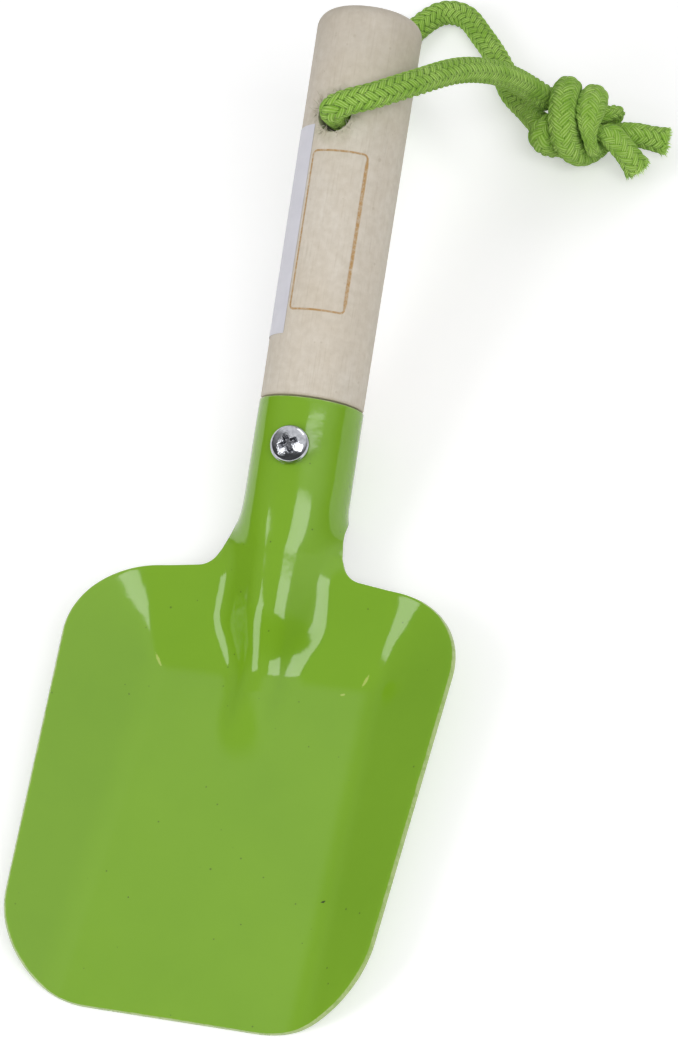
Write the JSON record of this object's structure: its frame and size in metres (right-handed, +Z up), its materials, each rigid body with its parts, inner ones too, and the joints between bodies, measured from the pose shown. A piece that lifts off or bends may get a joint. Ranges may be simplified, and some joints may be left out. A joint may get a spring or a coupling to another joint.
{
  "type": "childrens trowel",
  "caption": "Small hand trowel: a flat-floored pressed steel blade rolled into a socket, a turned wooden handle held by a screw, and a knotted braided hanging cord.",
  "frame": {"origin": "on the table under the middle of the tool's length, without the cord: the underside of the blade's floor is z = 0", "axes": "+Z up out of the pan, -Y towards the blade's tip, +Y towards the handle's end, +X to the right seen from the tip"},
  "size_m": [0.1017, 0.2561, 0.0575],
  "materials": {
    "enamel": "gloss",
    "beech": "matt, bare",
    "zinc": "bright zinc",
    "braid": "braided cord"
  },
  "bodies": {
    "root": {"blade_and_socket": "enamel", "handle": "beech", "screw": "zinc", "cord_front": "braid", "cord_back": "braid"}
  },
  "joints": []
}
